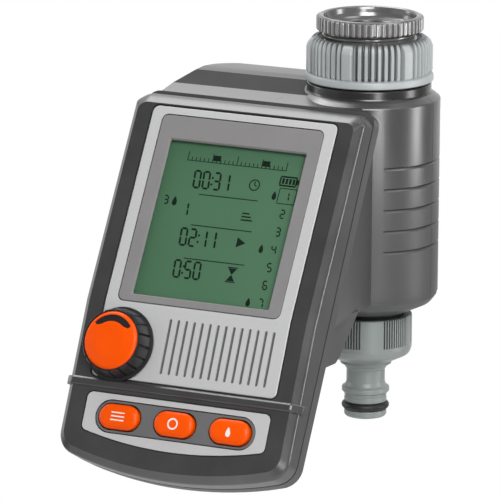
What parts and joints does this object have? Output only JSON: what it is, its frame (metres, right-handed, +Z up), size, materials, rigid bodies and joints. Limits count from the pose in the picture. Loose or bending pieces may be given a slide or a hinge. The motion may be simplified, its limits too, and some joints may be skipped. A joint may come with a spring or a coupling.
{
  "type": "irrigation controller",
  "caption": "Tap-mounted irrigation controller: leaning control unit with display, selector knob and push buttons, valve housing, threaded inlet above and push-fit hose outlet below.",
  "frame": {"origin": "centre of the inlet's mouth, level with the adapter ring's top face, on the valve axis", "axes": "+Z up along the valve axis towards the tap, -Y towards the display side, +X to the right of someone facing the display"},
  "size_m": [0.095, 0.1271, 0.1532],
  "materials": {
    "housing_plastic": "fine satin anthracite",
    "cover_plastic": "fine satin charcoal",
    "silver_plastic": "fine silver paint",
    "trim_plastic": "satin mid grey",
    "pad_plastic": "satin dark grey",
    "ring_plastic": "half gloss dark grey",
    "nut_plastic": "satin light grey",
    "connector_plastic": "satin grey",
    "valve_plastic": "glass filled black",
    "strainer_mesh": "fine mesh",
    "orange_plastic": "half gloss orange",
    "knob_plastic": "satin black",
    "seal_rubber": "smooth black",
    "key_rubber": "grey silicone",
    "steel": "bright",
    "contact_brass": "plated",
    "coil_moulding": "moulded winding",
    "lead_jacket": "smooth black",
    "window_clear": "clear",
    "lcd_glass": "green display",
    "lcd_carrier": "white",
    "board_laminate": "green laminate",
    "encoder_case": "dark case",
    "battery_case": "printed wrap, bare"
  },
  "bodies": {
    "housing": {"front_shell": "housing_plastic", "rear_shell": "housing_plastic", "shell_screw_1": "steel", "shell_screw_2": "steel", "shell_screw_3": "steel", "shell_screw_4": "steel", "valve_block": "valve_plastic", "inlet_nipple": "valve_plastic", "nipple_seal": "seal_rubber", "inlet_strainer": "strainer_mesh", "nut_washer": "seal_rubber", "valve_bonnet": "valve_plastic", "bonnet_screw_1": "steel", "bonnet_screw_2": "steel", "bonnet_screw_3": "steel", "bonnet_screw_4": "steel", "diaphragm": "seal_rubber", "solenoid_coil": "coil_moulding", "solenoid_yoke": "steel", "solenoid_lead": "lead_jacket", "dock_terminal": "contact_brass", "plunger_spring": "steel"},
    "solenoid_plunger": {"solenoid_plunger": "steel"},
    "union_nut": {"union_nut": "nut_plastic"},
    "tap_washer": {"tap_washer": "seal_rubber"},
    "adapter_ring": {"adapter_ring": "ring_plastic"},
    "outlet_washer": {"outlet_washer": "seal_rubber"},
    "outlet_connector": {"outlet_connector": "connector_plastic", "connector_oring": "seal_rubber"},
    "control_unit": {"control_front_cover": "cover_plastic", "control_back_cover": "cover_plastic", "cover_gasket": "seal_rubber", "cover_screw_1": "steel", "cover_screw_2": "steel", "cover_screw_3": "steel", "cover_screw_4": "steel", "faceplate": "silver_plastic", "key_plate": "silver_plastic", "button_surround": "pad_plastic", "display_frame": "trim_plastic", "display_window": "window_clear", "lcd_panel": "lcd_glass", "lcd_holder": "lcd_carrier", "circuit_board": "board_laminate", "encoder_body": "encoder_case", "button_mat": "key_rubber", "battery": "battery_case", "battery_snap": "cover_plastic", "contact_header": "contact_brass"},
    "selector_knob": {"selector_knob": "knob_plastic", "knob_cap": "orange_plastic", "encoder_shaft": "steel"},
    "menu_button": {"menu_button": "orange_plastic"},
    "ok_button": {"ok_button": "orange_plastic"},
    "manual_button": {"manual_button": "orange_plastic"}
  },
  "joints": [
    {"name": "control_unit_lift", "type": "slide", "parent": "housing", "child": "control_unit", "axis": [0, -0.8934, 0.4493], "range_m": [0, 0.04]},
    {"name": "selector_turn", "type": "hinge", "parent": "control_unit", "child": "selector_knob", "pos_m": [-0.0517, -0.08572, -0.10659], "axis": [0, -0.9198, 0.3923], "continuous": true},
    {"name": "menu_button_press", "type": "slide", "parent": "control_unit", "child": "menu_button", "axis": [0, 0.9198, -0.3923], "range_m": [0, 0.0009], "stiffness_N_per_m": 1000, "springref_m": -0.0003},
    {"name": "ok_button_press", "type": "slide", "parent": "control_unit", "child": "ok_button", "axis": [0, 0.9198, -0.3923], "range_m": [0, 0.0009], "stiffness_N_per_m": 1000, "springref_m": -0.0003},
    {"name": "manual_button_press", "type": "slide", "parent": "control_unit", "child": "manual_button", "axis": [0, 0.9198, -0.3923], "range_m": [0, 0.0009], "stiffness_N_per_m": 1000, "springref_m": -0.0003},
    {"name": "union_nut_turn", "type": "hinge", "parent": "housing", "child": "union_nut", "pos_m": [0, 0, -0.015], "axis": [0, 0, 1], "continuous": true},
    {"name": "adapter_ring_rise", "type": "slide", "parent": "union_nut", "child": "tap_washer", "axis": [0, 0, 1], "range_m": [0, 0.00693]},
    {"name": "adapter_ring_turn", "type": "hinge", "parent": "tap_washer", "child": "adapter_ring", "pos_m": [0, 0, -0.007], "axis": [0, 0, 1], "range_deg": [0, 1080]},
    {"name": "connector_drop", "type": "slide", "parent": "housing", "child": "outlet_washer", "axis": [0, 0, 1], "range_m": [-0.00726, 0]},
    {"name": "connector_turn", "type": "hinge", "parent": "outlet_washer", "child": "outlet_connector", "pos_m": [0, 0, -0.12], "axis": [0, 0, 1], "range_deg": [-1440, 0]},
    {"name": "plunger_stroke", "type": "slide", "parent": "housing", "child": "solenoid_plunger", "axis": [-1, 0, 0], "range_m": [0, 0.003], "stiffness_N_per_m": 300, "springref_m": -0.001, "deforming": ["plunger_spring"]}
  ],
  "couplings": [
    {"joint": "adapter_ring_rise", "follows": "adapter_ring_turn", "m_per_rad": 0.0003675},
    {"joint": "connector_drop", "follows": "connector_turn", "m_per_rad": 0.0002887}
  ]
}
